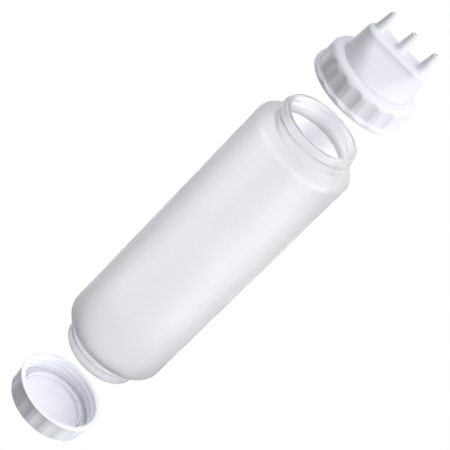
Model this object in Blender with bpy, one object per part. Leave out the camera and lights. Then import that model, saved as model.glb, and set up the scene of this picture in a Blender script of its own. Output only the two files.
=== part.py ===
"""Squeeze sauce bottle with a neck at both ends, a three-tip nozzle cap and a screw base cap.

The bottle lies on its side with its axis along +X and the nozzle cap towards +X. Both caps are off
their necks, in line with the bottle, and close by moving along the axis. Sizes are in metres.
"""
from math import cos, pi, radians, sin, tan

import bmesh
import bpy

# Bottle
BODY_RADIUS = 0.0350
BODY_STRAIGHT = 0.1846
BODY_WALL = 0.0012
SHOULDER_WIDTH = 0.0092
SHOULDER_EDGE_RADIUS = 0.0045
SHOULDER_FALL = radians(22)
NECK_LENGTH = 0.0120
NECK_WALL = 0.0024
RIM_ROUNDING = 0.0004

# Room for the thread between a neck and its cap
THREAD_DEPTH = 0.00115
THREAD_CLEARANCE = 0.00035

# Both caps
SHOULDER_GAP = 0.0005
SEAT_GAP = 0.0003
MOUTH_CHAMFER = 0.0005
FLUTES = 16
FLUTE_DEPTH = 0.0007
PLUG_RING_CLEARANCE = 0.0004
PLUG_RING_WALL = 0.0013
PLUG_RING_HEIGHT = 0.0035
PLUG_RING_ROUNDING = 0.0004
SEAL_THICKNESS = 0.0015
SEAL_ROUNDING = 0.0003

# Nozzle cap
NOZZLE_SKIRT_WALL = 0.0032
NOZZLE_LIP_PROUD = 0.0012
NOZZLE_LIP_HEIGHT = 0.0029
NOZZLE_LIP_RUN = 0.0006
NOZZLE_LIP_ROUNDING = 0.0006
COLLAR_HEIGHT = 0.0173
COLLAR_EDGE_RADIUS = 0.0050
COLLAR_EDGE_TURN = radians(60)
COLLAR_LEDGE = 0.0076
HEAD_HEIGHT = 0.0202
HEAD_FOOT_RADIUS = 0.0008
HEAD_TOP_HALF_DEPTH = 0.0095
HEAD_EDGE_RADIUS = 0.0026
HEAD_WALL = 0.0018
HEAD_TOP_WALL = 0.0016
TIPS = 3
TIP_SPACING = 0.01635
TIP_END_MARGIN = 0.00235
TIP_LENGTH = 0.0131
TIP_FOOT_RADIUS = 0.0036
TIP_FOOT_FLARE = 0.0010
TIP_FOOT_STEP = 0.00005
TIP_END_RADIUS = 0.00185
TIP_END_ROUNDING = 0.0003
TIP_WALL = 0.0009
NOZZLE_LIFT = 0.0420

# Base cap
BASE_SKIRT_WALL = 0.0024
BASE_SKIRT_DRAFT = 0.0004
BASE_LIP_PROUD = 0.0011
BASE_LIP_HEIGHT = 0.0014
BASE_LIP_ROUNDING = 0.0004
BASE_FLOOR = 0.0018
BASE_EDGE_RADIUS = 0.0016
BASE_FLUTE_TURN = radians(-5.8)
BASE_LIFT = 0.0567

# Edges and facets of every piece
LEAST_ROUNDING = 0.0004
SHARP_ANGLE = radians(35)
BOTTLE_SEGMENTS = 64
CAP_STEPS_PER_FLUTE = 6
SEAL_SEGMENTS = 40
TIP_SEGMENTS = 20
EDGE_STEPS = 3
COLLAR_EDGE_STEPS = 4

# Sizes that follow from the ones above
NECK_RADIUS = BODY_RADIUS - SHOULDER_WIDTH
MOUTH_RADIUS = NECK_RADIUS - NECK_WALL
HALF_STRAIGHT = BODY_STRAIGHT / 2
CONE_WIDTH = SHOULDER_WIDTH - SHOULDER_EDGE_RADIUS * (1 - sin(SHOULDER_FALL))
SHOULDER_RISE = SHOULDER_EDGE_RADIUS * cos(SHOULDER_FALL) + CONE_WIDTH * tan(SHOULDER_FALL)
NECK_BASE_X = HALF_STRAIGHT + SHOULDER_RISE
RIM_X = NECK_BASE_X + NECK_LENGTH
BORE_RADIUS = NECK_RADIUS + THREAD_DEPTH + THREAD_CLEARANCE
SKIRT_COVER = NECK_LENGTH - SHOULDER_GAP
SEAL_FACE_X = SKIRT_COVER + SEAT_GAP
CEILING_X = SEAL_FACE_X + SEAL_THICKNESS + SEAT_GAP
PLUG_RING_RADIUS = MOUTH_RADIUS - PLUG_RING_CLEARANCE
PLUG_RING_BORE = PLUG_RING_RADIUS - PLUG_RING_WALL
CAP_SEGMENTS = FLUTES * CAP_STEPS_PER_FLUTE

NOZZLE_RADIUS = BORE_RADIUS + NOZZLE_SKIRT_WALL
NOZZLE_FLUTE_X = NOZZLE_LIP_HEIGHT + NOZZLE_LIP_RUN
COLLAR_EDGE_X = COLLAR_HEIGHT - COLLAR_EDGE_RADIUS * sin(COLLAR_EDGE_TURN)
HEAD_RADIUS = NOZZLE_RADIUS - COLLAR_LEDGE
HEAD_TOP_X = COLLAR_HEIGHT + HEAD_HEIGHT
HEAD_TOP_HALF_LENGTH = TIP_SPACING * (TIPS - 1) / 2 + TIP_FOOT_RADIUS + TIP_END_MARGIN
TIP_END_X = HEAD_TOP_X + TIP_LENGTH

BASE_RADIUS = BORE_RADIUS + BASE_SKIRT_WALL
BASE_HEIGHT = CEILING_X + BASE_FLOOR

NOZZLE_X = RIM_X - SKIRT_COVER + NOZZLE_LIFT
BASE_X = -(RIM_X - SKIRT_COVER + BASE_LIFT)
MIDDLE_X = (NOZZLE_X + TIP_END_X + BASE_X - BASE_HEIGHT) / 2
AXIS_HEIGHT = BODY_RADIUS * cos(pi / BOTTLE_SEGMENTS)


def arc(centre, radius, start, end, steps=EDGE_STEPS):
    """Points (x, r) on an arc about centre; angles run from +x towards +r."""
    turns = [start + (end - start) * k / steps for k in range(steps + 1)]
    return [(centre[0] + radius * cos(a), centre[1] + radius * sin(a)) for a in turns]


def circle(x, radius, segments=CAP_SEGMENTS):
    """A ring of points round the axis at x, from +Y towards +Z."""
    angles = [2 * pi * (k + 0.5) / segments for k in range(segments)]
    return [(x, radius * cos(a), radius * sin(a)) for a in angles]


def cap_circle(x, radius, wall=None, turn=0.0):
    """A cap's ring at x, no wider inside its flutes than their cut into a wall radius leaves it."""
    ring = []
    for k in range(CAP_SEGMENTS):
        step = k % CAP_STEPS_PER_FLUTE
        across = abs(step - CAP_STEPS_PER_FLUTE / 2) / (CAP_STEPS_PER_FLUTE / 3)
        reach = radius
        if wall is not None and across < 1:
            reach = min(radius, wall - FLUTE_DEPTH * (1 - across ** 2))
        angle = 2 * pi * (k - CAP_STEPS_PER_FLUTE / 2) / CAP_SEGMENTS + pi / 2 + turn
        ring.append((x, reach * cos(angle), reach * sin(angle)))
    return ring


def turned(profile, turn=0.0):
    """Plain rings of a cap, one for each (x, r) of a profile, in step with its fluted rings."""
    return [cap_circle(x, radius, turn=turn) for x, radius in profile]


def stadium(x, half_length, half_depth):
    """A ring with straight long sides along Y; each point has the normal of its circle's point."""
    middle = half_length - half_depth
    ring = []
    for _, y, z in cap_circle(0.0, 1.0):
        side = 0 if abs(y) < 1e-6 else (1 if y > 0 else -1)
        ring.append((x, side * middle + half_depth * y, half_depth * z))
    return ring


def finish(bm, name):
    """A mesh object from bm, with outward normals and smooth shading on its round sides."""
    bmesh.ops.recalc_face_normals(bm, faces=bm.faces)
    mesh = bpy.data.meshes.new(name)
    bm.to_mesh(mesh)
    bm.free()
    mesh.shade_smooth()
    mesh.set_sharp_from_angle(angle=SHARP_ANGLE)
    obj = bpy.data.objects.new(name, mesh)
    bpy.context.scene.collection.objects.link(obj)
    return obj


def skin(name, rings, closed=False):
    """A solid skinned over rings of equal count; a closed one has a hole through it."""
    bm = bmesh.new()
    loops = [[bm.verts.new(p) for p in ring] for ring in rings]
    count = len(loops[0])
    pairs = list(zip(loops, loops[1:]))
    if closed:
        pairs.append((loops[-1], loops[0]))
    else:
        bm.faces.new(loops[0])
        bm.faces.new(loops[-1])
    for low, high in pairs:
        for k in range(count):
            n = (k + 1) % count
            bm.faces.new((low[k], low[n], high[n], high[k]))
    return finish(bm, name)


def material(name, colour, roughness):
    """A plain plastic of one colour."""
    mat = bpy.data.materials.new(name)
    mat.use_nodes = True
    shader = mat.node_tree.nodes["Principled BSDF"]
    shader.inputs["Base Color"].default_value = (*colour, 1)
    shader.inputs["Roughness"].default_value = roughness
    shader.inputs["Metallic"].default_value = 0
    return mat


def place(obj, parent, x, surface):
    """Set a piece on its parent's axis at x, in its own material."""
    obj.parent = parent
    obj.location = (x, 0, 0)
    obj.data.materials.append(surface)
    return obj


def cut(obj, cutter):
    """Take a cutter away from a piece."""
    cutter.hide_render = True
    cutter.display_type = "WIRE"
    cutter.parent = obj
    step = obj.modifiers.new(cutter.name, "BOOLEAN")
    step.operation = "DIFFERENCE"
    step.solver = "EXACT"
    step.object = cutter


def add(obj, piece):
    """Join another solid of the same moulding to a piece."""
    piece.hide_render = True
    piece.display_type = "WIRE"
    piece.parent = obj
    step = obj.modifiers.new(piece.name, "BOOLEAN")
    step.operation = "UNION"
    step.solver = "EXACT"
    step.object = piece


def bottle_end():
    """Half of the bottle's section, from the straight wall's outside round the rim to its inside."""
    centre = (HALF_STRAIGHT, BODY_RADIUS - SHOULDER_EDGE_RADIUS)
    inner_edge = max(SHOULDER_EDGE_RADIUS - BODY_WALL, LEAST_ROUNDING)
    outside = arc(centre, SHOULDER_EDGE_RADIUS, pi / 2, SHOULDER_FALL, 4)
    inside = arc(centre, inner_edge, SHOULDER_FALL, pi / 2)
    corner_x = inside[0][0] + (inside[0][1] - MOUTH_RADIUS) * tan(SHOULDER_FALL)
    neck = [(NECK_BASE_X, NECK_RADIUS)]
    neck += arc((RIM_X - RIM_ROUNDING, NECK_RADIUS - RIM_ROUNDING), RIM_ROUNDING, pi / 2, 0, 1)
    neck += arc((RIM_X - RIM_ROUNDING, MOUTH_RADIUS + RIM_ROUNDING), RIM_ROUNDING, 0, -pi / 2, 1)
    neck += [(corner_x, MOUTH_RADIUS)]
    return outside + neck + inside


def make_bottle():
    """Blow-moulded body: a straight tube with the same shoulder and neck at each end, open through."""
    end = bottle_end()
    section = end + [(-x, radius) for x, radius in reversed(end)]
    rings = [circle(x, radius, BOTTLE_SEGMENTS) for x, radius in section]
    return skin("bottle", rings, closed=True)


def cap_inside():
    """A cap's inside from its open mouth to the inner edge of its plug ring, as (x, r) points."""
    ring_end_x = CEILING_X - PLUG_RING_HEIGHT
    return [
        (0.0, BORE_RADIUS + MOUTH_CHAMFER),
        (MOUTH_CHAMFER, BORE_RADIUS),
        (CEILING_X, BORE_RADIUS),
        (CEILING_X, PLUG_RING_RADIUS),
        (ring_end_x + PLUG_RING_ROUNDING, PLUG_RING_RADIUS),
        (ring_end_x, PLUG_RING_RADIUS - PLUG_RING_ROUNDING),
        (ring_end_x, PLUG_RING_BORE),
    ]


def head_rings(radius, x, half_length, half_depth, top_x, edge):
    """Rings of a round head that narrows to a bar with its long side along Y and a rounded top edge."""
    rings = turned([(x, radius)])
    for k in range(EDGE_STEPS + 1):
        a = pi / 2 * k / EDGE_STEPS
        inset = edge * (1 - cos(a))
        rings.append(stadium(top_x - edge + edge * sin(a), half_length - inset, half_depth - inset))
    return rings


def make_tip(y):
    """One tapered tip of the head, without its bore, from inside the head's wall to its end."""
    foot_x = HEAD_TOP_X - HEAD_TOP_WALL / 2
    end = arc(
        (TIP_END_X - TIP_END_ROUNDING, TIP_END_RADIUS - TIP_END_ROUNDING), TIP_END_ROUNDING, pi / 2, 0, 2
    )
    slope = (TIP_FOOT_RADIUS - TIP_END_RADIUS) / TIP_LENGTH
    section = [(foot_x, TIP_FOOT_RADIUS + TIP_FOOT_FLARE)]
    for k in range(EDGE_STEPS + 1):
        a = pi / 2 * k / EDGE_STEPS
        rise = TIP_FOOT_STEP + TIP_FOOT_FLARE * (1 - cos(a))
        radius = TIP_FOOT_RADIUS - slope * rise + TIP_FOOT_FLARE * (1 - sin(a))
        section.append((HEAD_TOP_X + rise, radius))
    rings = [circle(x, radius, TIP_SEGMENTS) for x, radius in section + end]
    return skin("tip", [[(px, y + py, pz) for px, py, pz in ring] for ring in rings])


def make_tip_bore(y):
    """The tapered way through one tip, which opens at its end."""
    slope = (TIP_FOOT_RADIUS - TIP_END_RADIUS) / TIP_LENGTH
    past = HEAD_TOP_WALL
    low_x = HEAD_TOP_X - HEAD_TOP_WALL - past
    high_x = TIP_END_X + past
    section = []
    for x in (low_x, high_x):
        section.append((x, TIP_END_RADIUS - TIP_WALL + slope * (TIP_END_X - x)))
    rings = [circle(x, radius, TIP_SEGMENTS) for x, radius in section]
    return skin("tip_bore", [[(px, y + py, pz) for px, py, pz in ring] for ring in rings])


def make_nozzle_cap():
    """One moulding: fluted collar, round head drawn in to a bar, and a row of hollow tips."""
    lip_radius = NOZZLE_RADIUS + NOZZLE_LIP_PROUD
    collar = arc((NOZZLE_LIP_ROUNDING, lip_radius - NOZZLE_LIP_ROUNDING), NOZZLE_LIP_ROUNDING, pi, pi / 2, 1)
    # Each flute ends in a slope of 45 degrees, which meets the outside of the lip here
    slope_x = max(NOZZLE_FLUTE_X - NOZZLE_LIP_PROUD - FLUTE_DEPTH, 2 * NOZZLE_LIP_ROUNDING)
    collar += [(slope_x, lip_radius), (NOZZLE_LIP_HEIGHT, lip_radius), (NOZZLE_FLUTE_X, NOZZLE_RADIUS)]
    collar += arc(
        (COLLAR_EDGE_X, NOZZLE_RADIUS - COLLAR_EDGE_RADIUS),
        COLLAR_EDGE_RADIUS,
        pi / 2,
        pi / 2 - COLLAR_EDGE_TURN,
        COLLAR_EDGE_STEPS,
    )
    outside = [cap_circle(x, radius, NOZZLE_RADIUS + max(0.0, NOZZLE_FLUTE_X - x)) for x, radius in collar]
    foot = arc(
        (COLLAR_HEIGHT + HEAD_FOOT_RADIUS, HEAD_RADIUS + HEAD_FOOT_RADIUS), HEAD_FOOT_RADIUS, pi, 1.5 * pi, 1
    )
    inner_end_x = HEAD_TOP_X - HEAD_TOP_WALL
    inner_edge = max(HEAD_EDGE_RADIUS - HEAD_WALL, LEAST_ROUNDING)
    outside += turned(foot[:1])
    outside += head_rings(
        HEAD_RADIUS, foot[-1][0], HEAD_TOP_HALF_LENGTH, HEAD_TOP_HALF_DEPTH, HEAD_TOP_X, HEAD_EDGE_RADIUS
    )
    inner_radius = min(PLUG_RING_BORE, HEAD_RADIUS - HEAD_WALL)
    inside = turned(cap_inside() + [(CEILING_X, inner_radius)])
    inside += head_rings(
        inner_radius,
        COLLAR_HEIGHT,
        HEAD_TOP_HALF_LENGTH - HEAD_WALL,
        HEAD_TOP_HALF_DEPTH - HEAD_WALL,
        inner_end_x,
        inner_edge,
    )
    cap = skin("nozzle_cap", outside[::-1] + inside)
    for k in range(TIPS):
        y = TIP_SPACING * (k - (TIPS - 1) / 2)
        add(cap, make_tip(y))
        cut(cap, make_tip_bore(y))
    return cap


def make_base_cap():
    """One moulding: fluted skirt with a small lip, flat outer face and a plug ring inside."""
    small = BASE_RADIUS - BASE_SKIRT_DRAFT
    r = BASE_LIP_ROUNDING
    lip_edge = BASE_RADIUS + BASE_LIP_PROUD - r
    lip = arc((r, lip_edge), r, pi, pi / 2, 1) + arc((BASE_LIP_HEIGHT - r, lip_edge), r, pi / 2, 0, 2)
    edge = arc((BASE_HEIGHT - BASE_EDGE_RADIUS, small - BASE_EDGE_RADIUS), BASE_EDGE_RADIUS, pi / 2, 0)
    outside = turned(lip, BASE_FLUTE_TURN)
    outside += [cap_circle(BASE_LIP_HEIGHT, BASE_RADIUS, BASE_RADIUS, BASE_FLUTE_TURN)]
    outside += [cap_circle(x, radius, small, BASE_FLUTE_TURN) for x, radius in edge]
    inside = turned(cap_inside() + [(CEILING_X, PLUG_RING_BORE)], BASE_FLUTE_TURN)
    return skin("base_cap", outside[::-1] + inside)


def make_seal(name):
    """Ring seal between a cap's ceiling and the rim of its neck."""
    inner = PLUG_RING_RADIUS + SEAT_GAP
    outer = BORE_RADIUS - SEAT_GAP
    far_x = SEAL_FACE_X + SEAL_THICKNESS
    r = SEAL_ROUNDING
    section = [
        (SEAL_FACE_X, inner + r),
        (SEAL_FACE_X, outer - r),
        (SEAL_FACE_X + r, outer),
        (far_x - r, outer),
        (far_x, outer - r),
        (far_x, inner + r),
        (far_x - r, inner),
        (SEAL_FACE_X + r, inner),
    ]
    return skin(name, [circle(x, radius, SEAL_SEGMENTS) for x, radius in section], closed=True)


def main():
    """Clear the scene and set the five pieces on the bottle's axis."""
    for old in list(bpy.data.objects):
        bpy.data.objects.remove(old)
    axis = bpy.data.objects.new("axis", None)
    bpy.context.scene.collection.objects.link(axis)
    axis.location = (-MIDDLE_X, 0, AXIS_HEIGHT)

    milky = material("milky_polyethylene", (0.80, 0.80, 0.82), 0.38)
    white = material("white_polypropylene", (0.86, 0.86, 0.88), 0.25)
    rubber = material("seal_rubber", (0.74, 0.75, 0.78), 0.60)

    place(make_bottle(), axis, 0, milky)
    place(make_nozzle_cap(), axis, NOZZLE_X, white)
    place(make_seal("nozzle_cap_seal"), axis, NOZZLE_X, rubber)
    for piece, surface in ((make_base_cap(), white), (make_seal("base_cap_seal"), rubber)):
        place(piece, axis, BASE_X, surface).rotation_euler = (0, 0, pi)


main()
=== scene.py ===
"""Looks of a squeeze sauce bottle that is shown taken apart along its axis: moulded and threaded
surfaces, plastics, studio light and camera. Lengths are in metres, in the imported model's frame."""
from math import cos, pi, radians, sin, tan

import bpy
import numpy as np
from mathutils import Matrix, Vector


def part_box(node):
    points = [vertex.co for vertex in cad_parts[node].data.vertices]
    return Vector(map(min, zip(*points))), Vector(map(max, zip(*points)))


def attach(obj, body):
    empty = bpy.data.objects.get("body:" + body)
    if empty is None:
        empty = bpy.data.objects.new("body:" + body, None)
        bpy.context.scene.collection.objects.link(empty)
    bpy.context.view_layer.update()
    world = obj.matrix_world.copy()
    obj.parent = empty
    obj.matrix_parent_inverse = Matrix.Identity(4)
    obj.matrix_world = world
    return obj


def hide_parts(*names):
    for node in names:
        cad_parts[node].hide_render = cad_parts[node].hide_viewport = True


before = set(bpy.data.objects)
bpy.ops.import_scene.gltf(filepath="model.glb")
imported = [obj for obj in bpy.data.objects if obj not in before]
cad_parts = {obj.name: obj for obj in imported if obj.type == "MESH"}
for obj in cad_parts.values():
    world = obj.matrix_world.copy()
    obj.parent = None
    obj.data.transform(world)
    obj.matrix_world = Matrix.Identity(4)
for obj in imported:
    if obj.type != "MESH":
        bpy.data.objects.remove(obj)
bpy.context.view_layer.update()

# Places and sizes read from the frame
bottle_low, bottle_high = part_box("bottle")
nozzle_low, nozzle_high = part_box("nozzle_cap")
base_low, base_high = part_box("base_cap")
AXIS_Z = (bottle_low.z + bottle_high.z) / 2
BOTTLE_X = (bottle_low.x + bottle_high.x) / 2
RIM_X = (bottle_high.x - bottle_low.x) / 2
BODY_RADIUS = (bottle_high.z - bottle_low.z) / 2
NOZZLE_X = nozzle_low.x
TIP_END_X = nozzle_high.x - nozzle_low.x
BASE_X = base_high.x
BASE_HEIGHT = base_high.x - base_low.x

# Bottle
BODY_WALL = 0.0012
SHOULDER_WIDTH = 0.0092
SHOULDER_EDGE_RADIUS = 0.0045
SHOULDER_FALL = radians(22)
NECK_LENGTH = 0.0120
NECK_RADIUS = 0.0258
NECK_FOOT_RADIUS = 0.0009
MOUTH_RADIUS = 0.0234
BORE_END_RADIUS = 0.0227
BORE_END_DEPTH = 0.0010
RIM_ROUNDING = 0.0004
BOTTLE_SEGMENTS = 256
WALL_STEP = 0.004
BOTTLE_SHARP_ANGLE = radians(70)

# Right-hand threads; a ridge's distance from the rim is given for the side that faces the camera,
# and its turns are counted from there
LEAD = 0.0042
THREAD_DEPTH = 0.00115
THREAD_GROOVE = 0.0006
CREST_HALF_WIDTH = 0.00035
FOOT_HALF_WIDTH = 0.00105
THREAD_RUNOUT = radians(35)
ROW_STEP = 0.00016
TOP_RIDGE_FROM_RIM = 0.0063
TOP_THREAD_TURNS = (-0.85, 0.90)
BOTTOM_RIDGE_FROM_RIM = 0.0060
BOTTOM_THREAD_TURNS = (-0.40, 1.20)

# Both caps
BORE_RADIUS = 0.0273
MOUTH_CHAMFER = 0.0005
CEILING_X = 0.0136
PLUG_RING_RADIUS = 0.0230
PLUG_RING_BORE = 0.0217
PLUG_RING_HEIGHT = 0.0035
PLUG_RING_ROUNDING = 0.0005
FLUTES = 16
FLUTE_DEPTH = 0.0007
FLUTE_SOFTNESS = 0.0002
FLUTE_STEPS = 24
CAP_SEGMENTS = FLUTES * FLUTE_STEPS
SHARP_ANGLE = radians(38)

# Nozzle cap
NOZZLE_THREAD_TURNS = (-0.2, 1.4)
NOZZLE_RIDGE_LEAST_X = 0.002
NOZZLE_RADIUS = 0.0305
NOZZLE_LIP_PROUD = 0.0012
NOZZLE_LIP_HEIGHT = 0.0029
NOZZLE_LIP_RUN = 0.0006
NOZZLE_LIP_ROUNDING = 0.0006
NOZZLE_LIP_STEP = 0.0002
COLLAR_HEIGHT = 0.0173
COLLAR_EDGE_RADIUS = 0.0050
COLLAR_EDGE_TURN = radians(60)
COLLAR_STEP = 0.0005
HEAD_RADIUS = 0.0229
HEAD_TOP_X = 0.0375
HEAD_FOOT_RADIUS = 0.0008
HEAD_TOP_HALF_LENGTH = 0.0223
HEAD_TOP_HALF_DEPTH = 0.0095
HEAD_EDGE_RADIUS = 0.0026
HEAD_WALL = 0.0018
HEAD_TOP_WALL = 0.0016
HEAD_SIDE_STEPS = 6
HEAD_EDGE_STEPS = 8
TIPS = 3
TIP_SPACING = 0.01635
TIP_FOOT_RADIUS = 0.0036
TIP_FOOT_FLARE = 0.0010
TIP_FOOT_STEP = 0.00005
TIP_FLARE_STEPS = 8
TIP_END_RADIUS = 0.00185
TIP_END_ROUNDING = 0.0004
TIP_WALL = 0.0009
TIP_SLOPE = (TIP_FOOT_RADIUS - TIP_END_RADIUS) / (TIP_END_X - HEAD_TOP_X)
TIP_SEGMENTS = 48

# Base cap
BASE_THREAD_TURNS = (-0.75, 0.80)
BASE_RIDGE_LEAST_X = -0.006
BASE_RADIUS = 0.0297
BASE_SKIRT_DRAFT = 0.0004
BASE_SKIRT_STEP = 0.001
BASE_LIP_PROUD = 0.0011
BASE_LIP_HEIGHT = 0.0014
BASE_LIP_ROUNDING = 0.0004
BASE_EDGE_RADIUS = 0.0016
BASE_FLUTE_TURN = radians(5.8)

# Ring seals
SEAL_FACE_X = 0.0118
SEAL_THICKNESS = 0.0015
SEAL_INNER_RADIUS = 0.0233
SEAL_OUTER_RADIUS = 0.0270
SEAL_ROUNDING = 0.0004
SEAL_SEGMENTS = 128

# Plastics; the scales of their noises are in cells per metre
REFRACTION = 1.33
SCATTER_RADII = (1.0, 0.95, 1.0)
CLOUD_STRETCH = (0.35, 1, 1)
CLOUD_SCALE = 45
SMEAR_SCALE = 160
GRAIN_HEIGHT = 0.0001

# Light: a surround that is bright towards +X and -Y only, a wide and a narrow soft box on that side
# (the narrow one lights the bottle alone), a beam on the neck that faces the nozzle cap, a soft box
# over that cap, and a floor that lights the pieces from below, most of all on two strips beside the
# bottle
SURROUND_SIDE = (0.68, -0.70, 0.19)
SURROUND_EDGE = -0.1
SURROUND_LIGHT = 1.94
KEY_SIDE = (0.52, -0.84, 0.18)
KEY_DISTANCE = 1.3
WIDE_SIZE = 0.35
WIDE_POWER = 0.7
NARROW_SIZE = 0.12
NARROW_SPREAD = radians(8)
NARROW_POWER = 0.085
NARROW_SHIFT = -0.022
BEAM_SIZE = 0.02
BEAM_SPREAD = radians(1.2)
BEAM_POWER = 0.017
TOP_PLACE = (0.45, 0.0, 0.42)
TOP_SIZE = 0.3
TOP_POWER = 0.12
FLOOR_LEVEL = 0.88
FLOOR_COLOUR = (0.93, 0.935, 1.0)
STRIP_LEFT = 1.88
STRIP_RIGHT = 1.38
STRIP_COLOUR = (0.99, 0.985, 1.0)
STRIP_INNER_EDGE = 0.030
STRIP_OUTER_EDGE = 0.270
STRIP_SIDE_FADE = 0.030
STRIP_END = 0.100
STRIP_END_FADE = 0.040
FLOOR_HALF_SIZE = 6.0
DIFFUSE_BOUNCES = 12

# Camera, in the photograph's frame of 450 by 450 pixels
FRAME_PIXELS = 450
FOCAL_PIXELS = 1850
SENSOR = 0.036
VIEW_TILT = radians(30.2)
AXIS_SLOPE = radians(45.23)
AIM_X = 0.00875
AIM_ASIDE = 0.0005
CAMERA_DISTANCE = 1.1135
CLIP_START = 0.01


def arc(centre, radius, start, end, steps=8):
    """Points (x, r) on an arc about centre; angles run from +x towards +r."""
    turns = [start + (end - start) * k / steps for k in range(steps + 1)]
    return [(centre[0] + radius * cos(a), centre[1] + radius * sin(a)) for a in turns]


def between(first, last, step):
    """Points on a straight line, about a step apart, both ends included."""
    length = max(abs(last[0] - first[0]), abs(last[1] - first[1]))
    count = max(1, round(length / step))
    shares = [k / count for k in range(count + 1)]
    return [(first[0] + (last[0] - first[0]) * t, first[1] + (last[1] - first[1]) * t) for t in shares]


def flip(points):
    """The same outline points with the axis turned round."""
    return [(-x, r) for x, r in points]


def rings_of(points, segments, shape=None):
    """Rings round the axis for (x, r) points; shape gives a ring's radii from x, r and the angles."""
    angles = 2 * pi * np.arange(segments) / segments
    rings = []
    for x, radius in points:
        radii = shape(x, radius, angles) if shape else np.full(segments, radius)
        rings.append(np.stack([np.full(segments, x), radii * np.cos(angles), radii * np.sin(angles)], 1))
    return rings


def skin(name, rings, closed=False, sharp=SHARP_ANGLE):
    """A solid skinned over rings of equal count; a closed one has a hole through it."""
    count = len(rings[0])
    points = np.concatenate(rings)
    here = np.arange(count)
    ahead = np.roll(here, -1)
    faces = []
    for k in range(len(rings) - (0 if closed else 1)):
        low, high = k * count, (k + 1) % len(rings) * count
        faces += np.stack([low + here, low + ahead, high + ahead, high + here], 1).tolist()
    if not closed:
        faces += [list(range(count))[::-1], list(range(len(points) - count, len(points)))]
    mesh = bpy.data.meshes.new(name)
    mesh.from_pydata(points.tolist(), [], faces)
    if volume(mesh) < 0:
        mesh.flip_normals()
    mesh.shade_smooth()
    mesh.set_sharp_from_angle(angle=sharp)
    obj = bpy.data.objects.new(name, mesh)
    bpy.context.scene.collection.objects.link(obj)
    return obj


def volume(mesh):
    """Six times the volume inside a mesh, negative where it is inside out."""
    mesh.calc_loop_triangles()
    points = np.array([v.co for v in mesh.vertices])
    corners = points[np.array([t.vertices for t in mesh.loop_triangles])]
    return float((corners[:, 0] * np.cross(corners[:, 1], corners[:, 2])).sum())


def thread(x, turns, depth):
    """Shape with a right-hand ridge that passes the camera's side at x, from one turn to another."""
    first, last = turns

    def shape(at, radius, angles):
        height = np.zeros_like(angles)
        # Whole turns to both sides of the camera's side, more than any thread here has
        for turn in range(-3, 4):
            along = angles - pi / 2 + 2 * pi * turn
            across = np.abs(at - x - LEAD * along / (2 * pi))
            ridge = np.clip((FOOT_HALF_WIDTH - across) / (FOOT_HALF_WIDTH - CREST_HALF_WIDTH), 0, 1)
            start = np.clip((along - 2 * pi * first) / THREAD_RUNOUT, 0, 1)
            end = np.clip((2 * pi * last - along) / THREAD_RUNOUT, 0, 1)
            whole = ridge * np.minimum(start, end)
            # Rounded at foot and crest
            height = np.maximum(height, whole * whole * (3 - 2 * whole))
        return radius + depth * height

    return shape


def flutes(wall, slope_x=0.0, turn=0.0):
    """Shape with flutes cut into a wall, which slope out at 45 degrees between slope_x and the mouth."""
    def shape(at, radius, angles):
        # A flute takes two thirds of the pitch
        pitch = 2 * pi / FLUTES
        half_width = pitch / 3
        offset = (angles - pi / 2 - turn + pitch / 2) % pitch - pitch / 2
        floor = wall - FLUTE_DEPTH * (1 - (offset / half_width) ** 2) + max(0.0, slope_x - abs(at))
        # The lesser of the two radii, with the edge between them softened
        share = np.clip(0.5 + (floor - radius) / (2 * FLUTE_SOFTNESS), 0, 1)
        return floor + (radius - floor) * share - FLUTE_SOFTNESS * share * (1 - share)

    return shape


def bottle_end():
    """Outlines of an end in order: shoulder, neck, rim, bore and the inside of the shoulder."""
    half = RIM_X - NECK_LENGTH
    cone = SHOULDER_WIDTH - SHOULDER_EDGE_RADIUS * (1 - sin(SHOULDER_FALL))
    straight = half - SHOULDER_EDGE_RADIUS * cos(SHOULDER_FALL) - cone * tan(SHOULDER_FALL)
    centre = (straight, BODY_RADIUS - SHOULDER_EDGE_RADIUS)
    shoulder = arc(centre, SHOULDER_EDGE_RADIUS, pi / 2, SHOULDER_FALL, steps=12)
    # The hollow fillet where the shoulder meets the neck
    reach = NECK_FOOT_RADIUS * tan((pi / 2 - SHOULDER_FALL) / 2)
    foot = (half + reach, NECK_RADIUS + NECK_FOOT_RADIUS)
    shoulder += arc(foot, NECK_FOOT_RADIUS, pi + SHOULDER_FALL, 1.5 * pi, steps=5)
    rim_x = RIM_X - RIM_ROUNDING
    neck = between((half + reach, NECK_RADIUS), (rim_x, NECK_RADIUS), ROW_STEP)[1:-1]
    rim = arc((rim_x, NECK_RADIUS - RIM_ROUNDING), RIM_ROUNDING, pi / 2, 0, steps=5)
    rim += arc((rim_x, MOUTH_RADIUS + RIM_ROUNDING), RIM_ROUNDING, 0, -pi / 2, steps=5)
    inside = arc(centre, SHOULDER_EDGE_RADIUS - BODY_WALL, SHOULDER_FALL, pi / 2, steps=10)
    corner_x = inside[0][0] + (inside[0][1] - BORE_END_RADIUS) * tan(SHOULDER_FALL)
    corner = (corner_x - BORE_END_DEPTH, BORE_END_RADIUS)
    bore = between(rim[-1], corner, ROW_STEP)[1:]
    return shoulder, neck, rim, bore, inside


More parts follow.
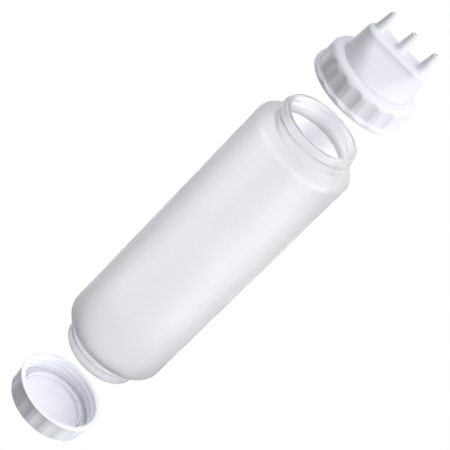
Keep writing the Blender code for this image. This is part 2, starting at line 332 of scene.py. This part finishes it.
def make_bottle():
    """Body with a threaded neck at each end, open right through."""
    shoulder, neck, rim, bore, inner = bottle_end()
    wall = between(flip(shoulder[:1])[0], shoulder[0], WALL_STEP)[1:-1]
    inside = between(inner[-1], flip(inner[-1:])[0], WALL_STEP)[1:-1]
    count = BOTTLE_SEGMENTS
    top_thread = (RIM_X - TOP_RIDGE_FROM_RIM, TOP_THREAD_TURNS)
    bottom_thread = (-RIM_X + BOTTOM_RIDGE_FROM_RIM, BOTTOM_THREAD_TURNS)
    ends = []
    for x, turns in (top_thread, bottom_thread):
        ridge = thread(x, turns, THREAD_DEPTH)
        groove = thread(x, turns, THREAD_GROOVE)
        turned = flip if x < 0 else list
        rings = rings_of(turned(shoulder), count) + rings_of(turned(neck), count, ridge)
        rings += rings_of(turned(rim), count) + rings_of(turned(bore), count, groove)
        ends.append(rings + rings_of(turned(inner), count))
    top, bottom = ends
    rings = rings_of(wall, count) + top + rings_of(inside, count) + bottom[::-1]
    return skin("milky_bottle", rings, closed=True, sharp=BOTTLE_SHARP_ANGLE)


def cap_inside():
    """Outlines of a cap's mouth, of its bore, and from its ceiling to the inside of its plug ring."""
    ring_x = CEILING_X - PLUG_RING_HEIGHT
    mouth = [(0.0, BORE_RADIUS + MOUTH_CHAMFER), (MOUTH_CHAMFER, BORE_RADIUS)]
    bore = between((MOUTH_CHAMFER, BORE_RADIUS), (CEILING_X, BORE_RADIUS), ROW_STEP)[1:]
    plug = [(CEILING_X, PLUG_RING_RADIUS)]
    r = PLUG_RING_ROUNDING
    plug += arc((ring_x + r, PLUG_RING_RADIUS - r), r, pi / 2, pi, steps=4)
    plug += arc((ring_x + r, PLUG_RING_BORE + r), r, pi, 1.5 * pi, steps=4)
    return mouth, bore, plug


def skirt_lip(radius, height, rounding):
    """A smooth bead at a skirt's open edge, from the edge up."""
    low = arc((rounding, radius - rounding), rounding, pi, pi / 2, steps=4)
    high = arc((height - rounding, radius - rounding), rounding, pi / 2, 0, steps=6)
    return low + high


def bar_ring(x, half_length, half_depth):
    """A ring with straight long sides along Y, each point with the normal of its circle's point."""
    angles = 2 * pi * np.arange(CAP_SEGMENTS) / CAP_SEGMENTS
    y, z = np.cos(angles), np.sin(angles)
    # The two points on the middle line belong to neither end
    side = np.where(np.abs(y) < 1e-6, 0, np.sign(y)) * (half_length - half_depth)
    return np.stack([np.full(CAP_SEGMENTS, x), side + half_depth * y, half_depth * z], 1)


def head(foot, half_length, half_depth, top_x, edge):
    """Rings of a head from a round foot ring to a bar with a rounded top edge."""
    shoulder = bar_ring(top_x - edge, half_length, half_depth)
    rings = [foot + (shoulder - foot) * k / HEAD_SIDE_STEPS for k in range(1, HEAD_SIDE_STEPS)]
    for k in range(HEAD_EDGE_STEPS + 1):
        a = pi / 2 * k / HEAD_EDGE_STEPS
        inset = edge * (1 - cos(a))
        rings.append(bar_ring(top_x - edge + edge * sin(a), half_length - inset, half_depth - inset))
    return rings


def make_tip(y):
    """One tapered tip, without its bore, from inside the head's wall to its end."""
    points = [(HEAD_TOP_X - HEAD_TOP_WALL / 2, TIP_FOOT_RADIUS + TIP_FOOT_FLARE)]
    for k in range(TIP_FLARE_STEPS + 1):
        a = pi / 2 * k / TIP_FLARE_STEPS
        rise = TIP_FOOT_STEP + TIP_FOOT_FLARE * (1 - cos(a))
        radius = TIP_FOOT_RADIUS - TIP_SLOPE * rise + TIP_FOOT_FLARE * (1 - sin(a))
        points.append((HEAD_TOP_X + rise, radius))
    r = TIP_END_ROUNDING
    points += arc((TIP_END_X - r, TIP_END_RADIUS - r), r, pi / 2, 0, steps=5)
    return skin("tip", [ring + (0, y, 0) for ring in rings_of(points, TIP_SEGMENTS)])


def make_tip_bore(y):
    """The tapered way through one tip."""
    ends = (HEAD_TOP_X - 2 * HEAD_TOP_WALL, TIP_END_X + HEAD_TOP_WALL)
    points = [(x, TIP_END_RADIUS - TIP_WALL + TIP_SLOPE * (TIP_END_X - x)) for x in ends]
    return skin("tip_bore", [ring + (0, y, 0) for ring in rings_of(points, TIP_SEGMENTS)])


def combine(obj, steps):
    """Add and cut other solids, each given with its operation, and keep only the result."""
    for piece, operation in steps:
        modifier = obj.modifiers.new(piece.name, "BOOLEAN")
        modifier.operation = operation
        modifier.solver = "EXACT"
        modifier.object = piece
    view = bpy.context.evaluated_depsgraph_get()
    whole = bpy.data.meshes.new_from_object(obj.evaluated_get(view))
    obj.modifiers.clear()
    obj.data = whole
    for piece, _ in steps:
        bpy.data.objects.remove(piece)
    whole.name = obj.name
    whole.shade_smooth()
    whole.set_sharp_from_angle(angle=SHARP_ANGLE)


def ridge_past(least, phase):
    """The first ridge place past a least value, where ridges lie a lead apart through phase."""
    return least + (phase - least) % LEAD


def make_nozzle_cap():
    """Fluted collar, head drawn in from round to a bar, and a row of hollow tips, in one moulding."""
    lip_radius = NOZZLE_RADIUS + NOZZLE_LIP_PROUD
    r = NOZZLE_LIP_ROUNDING
    collar = arc((r, lip_radius - r), r, pi, pi / 2, steps=4)
    collar += between((r, lip_radius), (NOZZLE_LIP_HEIGHT, lip_radius), NOZZLE_LIP_STEP)[1:]
    flute_x = NOZZLE_LIP_HEIGHT + NOZZLE_LIP_RUN
    collar += between((NOZZLE_LIP_HEIGHT, lip_radius), (flute_x, NOZZLE_RADIUS), NOZZLE_LIP_STEP)[1:]
    edge_x = COLLAR_HEIGHT - COLLAR_EDGE_RADIUS * sin(COLLAR_EDGE_TURN)
    collar += between((flute_x, NOZZLE_RADIUS), (edge_x, NOZZLE_RADIUS), COLLAR_STEP)[1:-1]
    centre = (edge_x, NOZZLE_RADIUS - COLLAR_EDGE_RADIUS)
    collar += arc(centre, COLLAR_EDGE_RADIUS, pi / 2, pi / 2 - COLLAR_EDGE_TURN, steps=24)
    r = HEAD_FOOT_RADIUS
    foot = arc((COLLAR_HEIGHT + r, HEAD_RADIUS + r), r, 1.5 * pi, pi, steps=5)
    outside = rings_of(collar, CAP_SEGMENTS, flutes(NOZZLE_RADIUS, flute_x))
    outside += rings_of(foot, CAP_SEGMENTS)
    outside += head(outside[-1], HEAD_TOP_HALF_LENGTH, HEAD_TOP_HALF_DEPTH, HEAD_TOP_X, HEAD_EDGE_RADIUS)

    phase = RIM_X - TOP_RIDGE_FROM_RIM + LEAD / 2 + BOTTLE_X - NOZZLE_X
    mouth, bore, plug = cap_inside()
    inside = rings_of(mouth, CAP_SEGMENTS)
    ridge = thread(ridge_past(NOZZLE_RIDGE_LEAST_X, phase), NOZZLE_THREAD_TURNS, -THREAD_DEPTH)
    inside += rings_of(bore, CAP_SEGMENTS, ridge)
    inner = [(CEILING_X, HEAD_RADIUS - HEAD_WALL), (COLLAR_HEIGHT, HEAD_RADIUS - HEAD_WALL)]
    inside += rings_of(plug + inner, CAP_SEGMENTS)
    inside += head(
        inside[-1],
        HEAD_TOP_HALF_LENGTH - HEAD_WALL,
        HEAD_TOP_HALF_DEPTH - HEAD_WALL,
        HEAD_TOP_X - HEAD_TOP_WALL,
        HEAD_EDGE_RADIUS - HEAD_WALL,
    )
    cap = skin("nozzle_cap_moulding", outside[::-1] + inside)
    steps = []
    for k in range(TIPS):
        y = TIP_SPACING * (k - (TIPS - 1) / 2)
        steps += [(make_tip(y), "UNION"), (make_tip_bore(y), "DIFFERENCE")]
    combine(cap, steps)
    return cap


def make_base_cap():
    """Fluted skirt with a small lip, flat outer face, thread and plug ring; x runs to its mouth."""
    lip = skirt_lip(BASE_RADIUS + BASE_LIP_PROUD, BASE_LIP_HEIGHT, BASE_LIP_ROUNDING)
    end_radius = BASE_RADIUS - BASE_SKIRT_DRAFT
    r = BASE_EDGE_RADIUS
    edge = arc((BASE_HEIGHT - r, end_radius - r), r, pi / 2, 0, steps=16)
    skirt = between((BASE_LIP_HEIGHT, BASE_RADIUS), edge[0], BASE_SKIRT_STEP)
    outside = rings_of(flip(lip), CAP_SEGMENTS)
    for x, radius in skirt:
        outside += rings_of([(-x, radius)], CAP_SEGMENTS, flutes(radius, turn=BASE_FLUTE_TURN))
    outside += rings_of(flip(edge[1:]), CAP_SEGMENTS, flutes(end_radius, turn=BASE_FLUTE_TURN))

    phase = -RIM_X + BOTTOM_RIDGE_FROM_RIM + LEAD / 2 + BOTTLE_X - BASE_X
    mouth, bore, plug = cap_inside()
    inside = rings_of(flip(mouth), CAP_SEGMENTS)
    ridge = thread(ridge_past(BASE_RIDGE_LEAST_X, phase), BASE_THREAD_TURNS, -THREAD_DEPTH)
    inside += rings_of(flip(bore), CAP_SEGMENTS, ridge)
    inside += rings_of(flip(plug + [(CEILING_X, PLUG_RING_BORE)]), CAP_SEGMENTS)
    return skin("base_cap_moulding", outside[::-1] + inside)


def make_seal(name, outward):
    """Ring seal; outward is 1 where its cap opens towards -X and -1 where it opens towards +X."""
    r = SEAL_ROUNDING
    far_x = SEAL_FACE_X + SEAL_THICKNESS
    outline = arc((SEAL_FACE_X + r, SEAL_INNER_RADIUS + r), r, 1.5 * pi, pi, steps=4)
    outline += arc((SEAL_FACE_X + r, SEAL_OUTER_RADIUS - r), r, pi, pi / 2, steps=4)
    outline += arc((far_x - r, SEAL_OUTER_RADIUS - r), r, pi / 2, 0, steps=4)
    outline += arc((far_x - r, SEAL_INNER_RADIUS + r), r, 0, -pi / 2, steps=4)
    rings = rings_of([(outward * x, radius) for x, radius in outline], SEAL_SEGMENTS)
    return skin(name, rings, closed=True)


def node(tree, kind, inputs=None, **settings):
    """A shader node with its settings and input values; an input may be another node's output."""
    made = tree.nodes.new(kind)
    for name, value in settings.items():
        setattr(made, name, value)
    for name, value in (inputs or {}).items():
        socket = made.inputs[name]
        if isinstance(value, bpy.types.NodeSocket):
            tree.links.new(value, socket)
        else:
            socket.default_value = value
    return made


def blend(tree, value, low, high, first, last):
    """A smooth change from first to last as a node's value goes from low to high."""
    ends = {"From Min": low, "From Max": high, "To Min": first, "To Max": last}
    made = node(tree, "ShaderNodeMapRange", {"Value": value, **ends}, interpolation_type="SMOOTHSTEP")
    return made.outputs["Result"]


def mixed_colour(tree, share, first, last):
    """A colour between two, by a node's output that goes from 0 to 1."""
    made = node(tree, "ShaderNodeMix", {"Factor": share}, data_type="RGBA")
    made.inputs["A"].default_value = (*first, 1)
    made.inputs["B"].default_value = (*last, 1)
    return made.outputs["Result"]


def plastic(name, tones, roughness, grain_scale, grain, scatter, scatter_depth, clear=0.0):
    """A moulded plastic: cloudy colour between two tones, uneven gloss and a fine grain."""
    mat = bpy.data.materials.new(name)
    mat.use_nodes = True
    tree = mat.node_tree
    shader = tree.nodes["Principled BSDF"]
    place = node(tree, "ShaderNodeTexCoord").outputs["Object"]
    stretch = {"Vector": place, "Scale": CLOUD_STRETCH}
    stretched = node(tree, "ShaderNodeMapping", stretch).outputs["Vector"]
    cloud = node(tree, "ShaderNodeTexNoise", {"Vector": stretched, "Scale": CLOUD_SCALE, "Detail": 3})
    tone = mixed_colour(tree, cloud.outputs["Fac"], *tones)
    tree.links.new(tone, shader.inputs["Base Color"])
    smear = node(tree, "ShaderNodeTexNoise", {"Vector": stretched, "Scale": SMEAR_SCALE, "Detail": 4})
    gloss = node(tree, "ShaderNodeMapRange", {"Value": smear.outputs["Fac"]})
    gloss.inputs["To Min"].default_value = roughness[0]
    gloss.inputs["To Max"].default_value = roughness[1]
    tree.links.new(gloss.outputs["Result"], shader.inputs["Roughness"])
    fine = node(tree, "ShaderNodeTexNoise", {"Vector": place, "Scale": grain_scale, "Detail": 2})
    relief = {"Height": fine.outputs["Fac"], "Strength": grain, "Distance": GRAIN_HEIGHT}
    bump = node(tree, "ShaderNodeBump", relief)
    tree.links.new(bump.outputs["Normal"], shader.inputs["Normal"])
    shader.inputs["IOR"].default_value = REFRACTION
    shader.inputs["Subsurface Weight"].default_value = scatter
    shader.inputs["Subsurface Radius"].default_value = SCATTER_RADII
    shader.inputs["Subsurface Scale"].default_value = scatter_depth
    shader.inputs["Transmission Weight"].default_value = clear
    return mat


def settle(obj, x, body, slot, material, *nodes):
    """Place a piece on the axis at x, give it its material and let it stand for its CAD node."""
    obj.location = (x, 0, AXIS_Z)
    obj.data.materials.clear()
    obj.data.materials.append(material)
    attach(obj, body)
    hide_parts(*nodes)


def make_pieces():
    """The five pieces of the bottle, each in its plastic."""
    milky = plastic(
        "milky_polyethylene",
        tones=((0.985, 0.981, 0.998), (0.975, 0.971, 0.988)),
        roughness=(0.5, 0.6),
        grain_scale=900,
        grain=0.15,
        scatter=1.0,
        scatter_depth=0.03,
        clear=0.8,
    )
    white = plastic(
        "white_polypropylene",
        tones=((0.832, 0.838, 0.888), (0.812, 0.818, 0.868)),
        roughness=(0.16, 0.24),
        grain_scale=700,
        grain=0.08,
        scatter=0.3,
        scatter_depth=0.0015,
    )
    rubber = plastic(
        "seal_rubber",
        tones=((0.80, 0.81, 0.84), (0.77, 0.78, 0.81)),
        roughness=(0.50, 0.60),
        grain_scale=1500,
        grain=0.25,
        scatter=0.1,
        scatter_depth=0.001,
    )
    settle(make_bottle(), BOTTLE_X, "bottle", "milky_polyethylene", milky, "bottle")
    settle(make_nozzle_cap(), NOZZLE_X, "nozzle_cap", "white_polypropylene", white, "nozzle_cap")
    settle(make_base_cap(), BASE_X, "base_cap", "white_polypropylene", white, "base_cap")
    nozzle_seal = make_seal("nozzle_seal_ring", 1)
    settle(nozzle_seal, NOZZLE_X, "nozzle_cap_seal", "seal_rubber", rubber, "nozzle_cap_seal")
    base_seal = make_seal("base_seal_ring", -1)
    settle(base_seal, BASE_X, "base_cap_seal", "seal_rubber", rubber, "base_cap_seal")


def make_stage():
    """A plain white floor, whose light on the pieces is set apart from how it shows."""
    mesh = bpy.data.meshes.new("floor")
    half = FLOOR_HALF_SIZE
    corners = [(-half, -half, 0), (half, -half, 0), (half, half, 0), (-half, half, 0)]
    mesh.from_pydata(corners, [], [(0, 1, 2, 3)])
    floor = bpy.data.objects.new("floor", mesh)
    bpy.context.scene.collection.objects.link(floor)
    mat = bpy.data.materials.new("pale_floor")
    mat.use_nodes = True
    tree = mat.node_tree
    tree.nodes.remove(tree.nodes["Principled BSDF"])
    place = node(tree, "ShaderNodeTexCoord").outputs["Object"]
    place = node(tree, "ShaderNodeSeparateXYZ", {"Vector": place}).outputs
    aside = node(tree, "ShaderNodeMath", {0: place["Y"]}, operation="ABSOLUTE").outputs[0]
    along = node(tree, "ShaderNodeMath", {0: place["X"], 1: BOTTLE_X}, operation="SUBTRACT").outputs[0]
    along = node(tree, "ShaderNodeMath", {0: along}, operation="ABSOLUTE").outputs[0]
    share = blend(tree, along, STRIP_END, STRIP_END + STRIP_END_FADE, 1.0, 0.0)
    for edge, first, last in ((STRIP_INNER_EDGE, 0.0, 1.0), (STRIP_OUTER_EDGE, 1.0, 0.0)):
        side = blend(tree, aside, edge - STRIP_SIDE_FADE, edge, first, last)
        share = node(tree, "ShaderNodeMath", {0: share, 1: side}, operation="MULTIPLY").outputs[0]
    strip = blend(tree, place["Y"], -STRIP_INNER_EDGE, STRIP_INNER_EDGE, STRIP_RIGHT, STRIP_LEFT)
    levels = {"Factor": share, "A": FLOOR_LEVEL, "B": strip}
    level = node(tree, "ShaderNodeMix", levels).outputs["Result"]
    tint = mixed_colour(tree, share, FLOOR_COLOUR, STRIP_COLOUR)
    below = node(tree, "ShaderNodeEmission", {"Color": tint, "Strength": level})
    glow = node(tree, "ShaderNodeEmission", {"Color": (1, 1, 1, 1), "Strength": 1.0})
    seen = node(tree, "ShaderNodeLightPath").outputs["Is Camera Ray"]
    both = node(tree, "ShaderNodeMixShader", {"Fac": seen})
    tree.links.new(below.outputs[0], both.inputs[1])
    tree.links.new(glow.outputs[0], both.inputs[2])
    tree.links.new(both.outputs[0], tree.nodes["Material Output"].inputs["Surface"])
    mesh.materials.append(mat)


def soft_light(name, place, target, size, power, spread=pi):
    """A square soft box that faces a point; a small spread keeps its light in a beam."""
    light = bpy.data.lights.new(name, "AREA")
    light.size = size
    light.energy = power
    light.spread = spread
    obj = bpy.data.objects.new(name, light)
    obj.location = place
    obj.rotation_euler = (Vector(target) - Vector(place)).to_track_quat("-Z", "Y").to_euler()
    bpy.context.scene.collection.objects.link(obj)


def make_light():
    """A surround that is light on one side and dark on the other, the soft boxes and the beam."""
    world = bpy.data.worlds.new("studio")
    bpy.context.scene.world = world
    world.use_nodes = True
    tree = world.node_tree
    back = tree.nodes["Background"]
    back.inputs["Color"].default_value = (1, 1, 1, 1)
    way = node(tree, "ShaderNodeTexCoord").outputs["Generated"]
    ways = {0: way, 1: Vector(SURROUND_SIDE).normalized()}
    side = node(tree, "ShaderNodeVectorMath", ways, operation="DOT_PRODUCT").outputs["Value"]
    ends = {"From Min": SURROUND_EDGE, "To Min": 0.0, "To Max": SURROUND_LIGHT}
    level = node(tree, "ShaderNodeMapRange", {"Value": side, **ends})
    tree.links.new(level.outputs["Result"], back.inputs["Strength"])
    middle = Vector((0, 0, AXIS_Z))
    away = KEY_DISTANCE * Vector(KEY_SIDE).normalized()
    soft_light("wide_box", middle + away, middle, WIDE_SIZE, WIDE_POWER)
    middle.x = NARROW_SHIFT
    soft_light("narrow_box", middle + away, middle, NARROW_SIZE, NARROW_POWER, NARROW_SPREAD)
    middle.x = BOTTLE_X + RIM_X - NECK_LENGTH
    soft_light("neck_beam", middle + away, middle, BEAM_SIZE, BEAM_POWER, BEAM_SPREAD)
    soft_light("top_box", TOP_PLACE, (NOZZLE_X, 0, AXIS_Z), TOP_SIZE, TOP_POWER)


def make_camera():
    """The photograph's view: square to the row of tips, tilted along the axis and rolled."""
    along = Vector((cos(VIEW_TILT), 0, -sin(VIEW_TILT)))
    aside = Vector((0, -1, 0))
    back = Vector((sin(VIEW_TILT), 0, cos(VIEW_TILT)))
    right = along * cos(AXIS_SLOPE) + aside * sin(AXIS_SLOPE)
    up = along * sin(AXIS_SLOPE) - aside * cos(AXIS_SLOPE)
    data = bpy.data.cameras.new("camera")
    # Blender takes both of these in millimetres
    data.sensor_width = SENSOR * 1000
    data.lens = FOCAL_PIXELS / FRAME_PIXELS * data.sensor_width
    data.clip_start = CLIP_START
    camera = bpy.data.objects.new("camera", data)
    place = Vector((AIM_X, 0, AXIS_Z)) + back * CAMERA_DISTANCE - aside * AIM_ASIDE
    turn = Matrix((right, up, back)).transposed()
    camera.matrix_world = Matrix.Translation(place) @ turn.to_4x4()
    bpy.context.scene.collection.objects.link(camera)
    bpy.context.scene.camera = camera


make_camera()
make_stage()
make_light()
make_pieces()
bpy.context.scene.view_settings.view_transform = "Standard"
bpy.context.scene.cycles.diffuse_bounces = DIFFUSE_BOUNCES
